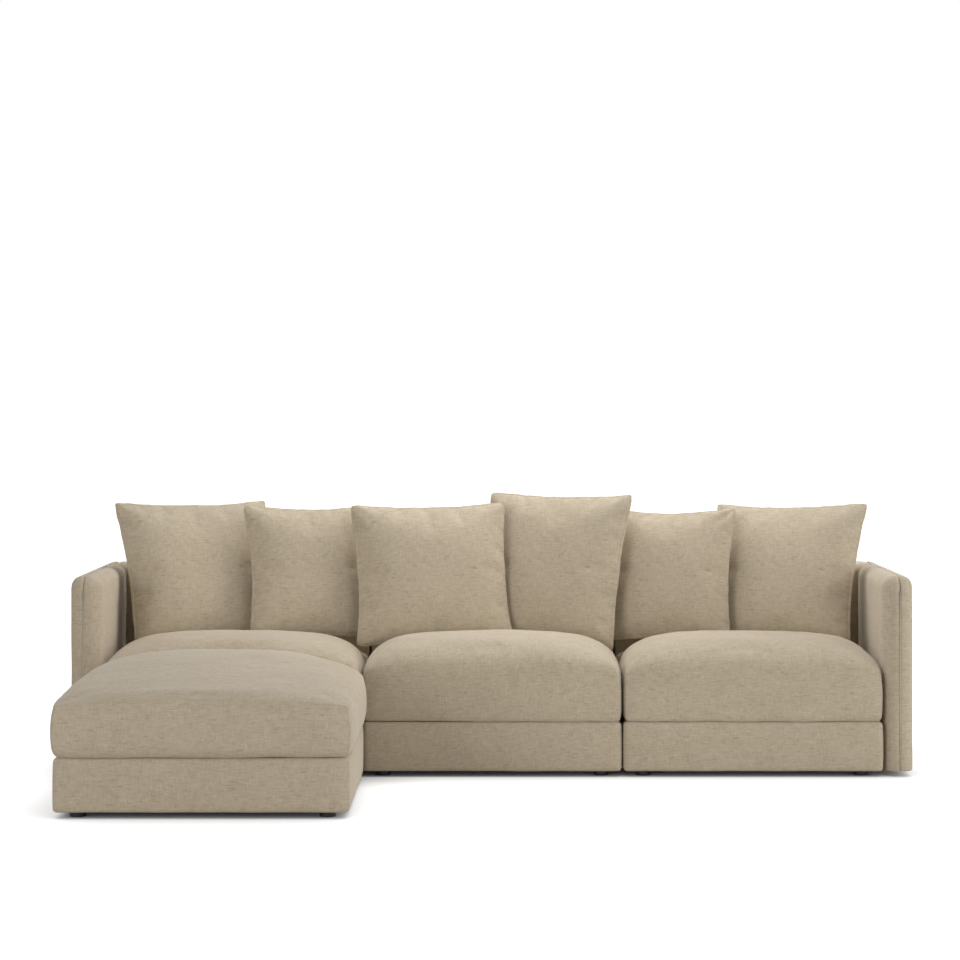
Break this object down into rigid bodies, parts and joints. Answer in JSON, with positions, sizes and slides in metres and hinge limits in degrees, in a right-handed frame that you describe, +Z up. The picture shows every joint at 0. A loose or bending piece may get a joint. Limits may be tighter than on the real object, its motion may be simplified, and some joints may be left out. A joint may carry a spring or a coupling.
{
  "type": "three-seater sofa with footstool",
  "caption": "Low modular upholstered sofa with slim arms, crowned loose seat cushions, knife-edged scatter cushions and a matching square footstool on small round feet",
  "frame": {"origin": "on the floor under the middle of the whole set's box, footstool included", "axes": "+X to the right as seen from the front, along the sofa's width; +Y from the front to the back; +Z up"},
  "size_m": [2.9, 1.88, 0.9569],
  "materials": {
    "upholstery": "matte",
    "foot_plastic": "satin",
    "timber": "matte",
    "steel": "satin",
    "dust_cloth": "matte",
    "webbing": "matte",
    "foam": "matte"
  },
  "bodies": {
    "sofa": {"left_base_frame": "timber", "left_webbing": "webbing", "left_base_cover": "upholstery", "left_dust_cover": "dust_cloth", "left_feet": "foot_plastic", "left_back_frame": "timber", "left_back_cover": "upholstery", "left_seat_foam": "foam", "left_seat_cover": "upholstery", "centre_base_frame": "timber", "centre_webbing": "webbing", "centre_base_cover": "upholstery", "centre_dust_cover": "dust_cloth", "centre_feet": "foot_plastic", "centre_back_frame": "timber", "centre_back_cover": "upholstery", "centre_seat_foam": "foam", "centre_seat_cover": "upholstery", "right_base_frame": "timber", "right_webbing": "webbing", "right_base_cover": "upholstery", "right_dust_cover": "dust_cloth", "right_feet": "foot_plastic", "right_back_frame": "timber", "right_back_cover": "upholstery", "right_seat_foam": "foam", "right_seat_cover": "upholstery", "left_arm_frame": "timber", "left_arm_inner_pad": "upholstery", "left_arm_outer_panel": "upholstery", "left_arm_piping": "upholstery", "right_arm_frame": "timber", "right_arm_inner_pad": "upholstery", "right_arm_outer_panel": "upholstery", "right_arm_piping": "upholstery", "joining_plates": "steel", "joining_screws": "steel", "back_bolts": "steel", "arm_bolts": "steel"},
    "footstool": {"footstool_base_frame": "timber", "footstool_webbing": "webbing", "footstool_base_cover": "upholstery", "footstool_dust_cover": "dust_cloth", "footstool_feet": "foot_plastic"},
    "footstool_cushion": {"footstool_cushion_cover": "upholstery", "footstool_cushion_foam": "foam"},
    "scatter_cushion_1": {"scatter_cushion_1_cover": "upholstery", "scatter_cushion_1_insert": "foam"},
    "scatter_cushion_2": {"scatter_cushion_2_cover": "upholstery", "scatter_cushion_2_insert": "foam"},
    "scatter_cushion_3": {"scatter_cushion_3_cover": "upholstery", "scatter_cushion_3_insert": "foam"},
    "scatter_cushion_4": {"scatter_cushion_4_cover": "upholstery", "scatter_cushion_4_insert": "foam"},
    "scatter_cushion_5": {"scatter_cushion_5_cover": "upholstery", "scatter_cushion_5_insert": "foam"},
    "scatter_cushion_6": {"scatter_cushion_6_cover": "upholstery", "scatter_cushion_6_insert": "foam"}
  },
  "joints": [
    {"name": "footstool_slide", "type": "slide", "parent": "sofa", "child": "footstool", "axis": [0, -1, 0], "range_m": [0, 0.6]},
    {"name": "footstool_cushion_lift", "type": "slide", "parent": "footstool", "child": "footstool_cushion", "axis": [0, 0, 1], "range_m": [0, 0.3]},
    {"name": "scatter_cushion_1_lift", "type": "slide", "parent": "sofa", "child": "scatter_cushion_1", "axis": [-0.1284, 0.3346, 0.9336], "range_m": [0, 0.4]},
    {"name": "scatter_cushion_2_lift", "type": "slide", "parent": "sofa", "child": "scatter_cushion_2", "axis": [-0.0748, 0.2998, 0.9511], "range_m": [0, 0.4]},
    {"name": "scatter_cushion_3_lift", "type": "slide", "parent": "sofa", "child": "scatter_cushion_3", "axis": [-0.0407, 0.2895, 0.9563], "range_m": [0, 0.4]},
    {"name": "scatter_cushion_4_lift", "type": "slide", "parent": "sofa", "child": "scatter_cushion_4", "axis": [0.1, 0.2747, 0.9563], "range_m": [0, 0.4]},
    {"name": "scatter_cushion_5_lift", "type": "slide", "parent": "sofa", "child": "scatter_cushion_5", "axis": [0.0748, 0.2998, 0.9511], "range_m": [0, 0.4]},
    {"name": "scatter_cushion_6_lift", "type": "slide", "parent": "sofa", "child": "scatter_cushion_6", "axis": [0.1284, 0.3346, 0.9336], "range_m": [0, 0.4]}
  ]
}
